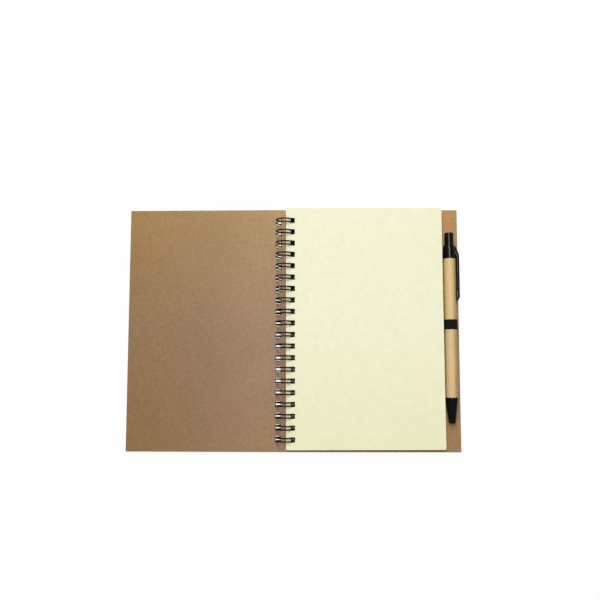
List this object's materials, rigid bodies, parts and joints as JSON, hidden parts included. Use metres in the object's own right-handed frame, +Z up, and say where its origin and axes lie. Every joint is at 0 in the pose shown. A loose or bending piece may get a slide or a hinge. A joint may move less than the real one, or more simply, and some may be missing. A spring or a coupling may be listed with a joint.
{
  "type": "spiral notebook",
  "caption": "Wire-bound notebook with kraft board covers and cream pages, and a push pen in an elastic loop on the wide back cover.",
  "frame": {"origin": "on the table under the middle of the open notebook: the centre of its bounding box in plan, at its lowest point", "axes": "+X from the front cover across the spine to the pages and the pen, +Y up the page to its head, +Z up from the table"},
  "size_m": [0.2464, 0.18, 0.0144],
  "materials": {
    "kraft_board": "matt",
    "page_paper": "matt",
    "coated_wire": "gloss",
    "elastic": "woven",
    "barrel_paper": "satin",
    "pen_plastic": "gloss",
    "inner_plastic": "matt",
    "refill_plastic": "satin",
    "point_metal": "polished",
    "spring_steel": "bright"
  },
  "bodies": {
    "back": {"back_cover": "kraft_board", "binding_wire": "coated_wire", "pen_loop": "elastic", "pen_barrel": "barrel_paper", "pen_housing": "pen_plastic", "pen_tip": "pen_plastic", "pen_spring": "spring_steel"},
    "front": {"front_cover": "kraft_board"},
    "pages": {"page_block": "page_paper"},
    "pen_push": {"push_button": "pen_plastic", "cam_rotor": "inner_plastic", "refill_tube": "refill_plastic", "refill_point": "point_metal"}
  },
  "joints": [
    {"name": "front_cover_turn", "type": "hinge", "parent": "back", "child": "front", "pos_m": [-0.00595, 0, 0.00726], "axis": [0, 1, 0], "range_deg": [0, 181.78]},
    {"name": "pages_turn", "type": "hinge", "parent": "back", "child": "pages", "pos_m": [-0.00595, 0, 0.00726], "axis": [0, 1, 0], "range_deg": [-181.78, 0]},
    {"name": "pen_click", "type": "slide", "parent": "back", "child": "pen_push", "axis": [0, -1, 0], "range_m": [0, 0.005], "stiffness_N_per_m": 400, "springref_m": -0.003, "deforming": ["pen_spring"]}
  ]
}
